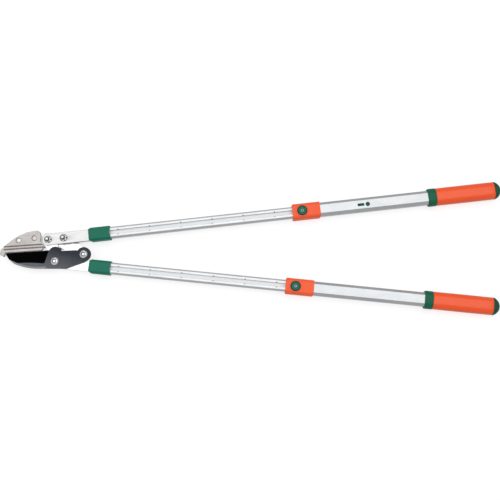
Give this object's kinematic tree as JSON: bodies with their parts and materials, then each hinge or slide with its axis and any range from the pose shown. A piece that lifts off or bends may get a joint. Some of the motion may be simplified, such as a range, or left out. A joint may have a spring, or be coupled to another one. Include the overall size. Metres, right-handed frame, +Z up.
{
  "type": "telescopic anvil lopper",
  "caption": "Long-handled anvil lopper with a compound-action head, telescopic alloy handles, push-button clamps and oval two-colour grips.",
  "frame": {"origin": "middle of the tool's box, on the surface that it lies on", "axes": "+X from the blade to the grips, +Y towards the handle that swings, +Z up from the surface, out of the face with the lock buttons"},
  "size_m": [0.9576, 0.2558, 0.0314],
  "materials": {
    "plated_steel": "zinc plated, satin",
    "anvil_casting": "brushed casting",
    "rivet_steel": "satin, set flush",
    "coated_blade": "dark non-stick coating, ground face glossy black",
    "bright_steel": "bright plated",
    "alloy_tube": "satin anodised",
    "green_plastic": "satin moulded",
    "orange_plastic": "satin moulded",
    "orange_grip": "soft satin grip",
    "black_plastic": "acetal, satin"
  },
  "bodies": {
    "anvil_jaw": {"carrier_plate": "plated_steel", "anvil_block": "anvil_casting", "anvil_rivet_front": "rivet_steel", "anvil_rivet_rear": "rivet_steel", "blade_pivot_bolt": "bright_steel", "blade_pivot_nut": "bright_steel", "lower_ferrule": "green_plastic", "lower_core": "plated_steel", "lower_inner_tube": "alloy_tube", "lower_glide_bush": "black_plastic"},
    "swinging_handle": {"strap_front": "plated_steel", "strap_back": "plated_steel", "handle_pivot_bolt": "bright_steel", "handle_pivot_nut": "bright_steel", "handle_pivot_spacer": "plated_steel", "link_pin_bolt": "bright_steel", "link_pin_nut": "bright_steel", "link_pin_spacer": "plated_steel", "upper_ferrule": "green_plastic", "upper_core": "plated_steel", "upper_inner_tube": "alloy_tube", "upper_glide_bush": "black_plastic"},
    "blade": {"cutting_blade": "coated_blade", "tail_pin_bolt": "bright_steel", "tail_pin_nut": "bright_steel", "tail_pin_spacer": "plated_steel"},
    "link": {"link_plate": "plated_steel"},
    "upper_outer": {"upper_outer_tube": "alloy_tube", "upper_clamp_sleeve": "orange_plastic", "upper_lock_spring": "bright_steel", "upper_grip_collar": "green_plastic", "upper_grip_sleeve": "orange_grip", "upper_end_cap": "green_plastic"},
    "lower_outer": {"lower_outer_tube": "alloy_tube", "lower_clamp_sleeve": "orange_plastic", "lower_lock_spring": "bright_steel", "lower_grip_collar": "green_plastic", "lower_grip_sleeve": "orange_grip", "lower_end_cap": "green_plastic"},
    "upper_button": {"upper_lock_button": "green_plastic", "upper_lock_foot": "bright_steel", "upper_button_screw": "bright_steel"},
    "lower_button": {"lower_lock_button": "green_plastic", "lower_lock_foot": "bright_steel", "lower_button_screw": "bright_steel"}
  },
  "joints": [
    {"name": "handle_pivot", "type": "hinge", "parent": "anvil_jaw", "child": "swinging_handle", "pos_m": [-0.38809, 0.01556, 0.014], "axis": [0, 0, 1], "range_deg": [0, 70]},
    {"name": "blade_pivot", "type": "hinge", "parent": "anvil_jaw", "child": "blade", "pos_m": [-0.37329, -0.02624, 0.014], "axis": [0, 0, 1], "range_deg": [0, 37.6]},
    {"name": "link_pivot", "type": "hinge", "parent": "blade", "child": "link", "pos_m": [-0.31899, -0.01294, 0.014], "axis": [0, 0, 1], "range_deg": [-33, 0]},
    {"name": "upper_telescope", "type": "slide", "parent": "swinging_handle", "child": "upper_outer", "axis": [-0.9938, -0.1115, 0], "range_m": [0, 0.2997]},
    {"name": "lower_telescope", "type": "slide", "parent": "anvil_jaw", "child": "lower_outer", "axis": [-0.9951, 0.0993, 0], "range_m": [-0.0174, 0.2823]},
    {"name": "upper_button_press", "type": "slide", "parent": "upper_outer", "child": "upper_button", "axis": [0, 0, -1], "range_m": [0, 0.0016], "stiffness_N_per_m": 1500, "springref_m": -0.003, "deforming": ["upper_lock_spring"]},
    {"name": "lower_button_press", "type": "slide", "parent": "lower_outer", "child": "lower_button", "axis": [0, 0, -1], "range_m": [0, 0.0016], "stiffness_N_per_m": 1500, "springref_m": -0.003, "deforming": ["lower_lock_spring"]}
  ],
  "couplings": [
    {"joint": "blade_pivot", "follows": "handle_pivot", "ratio": 0.535},
    {"joint": "link_pivot", "follows": "handle_pivot", "ratio": -0.47}
  ]
}
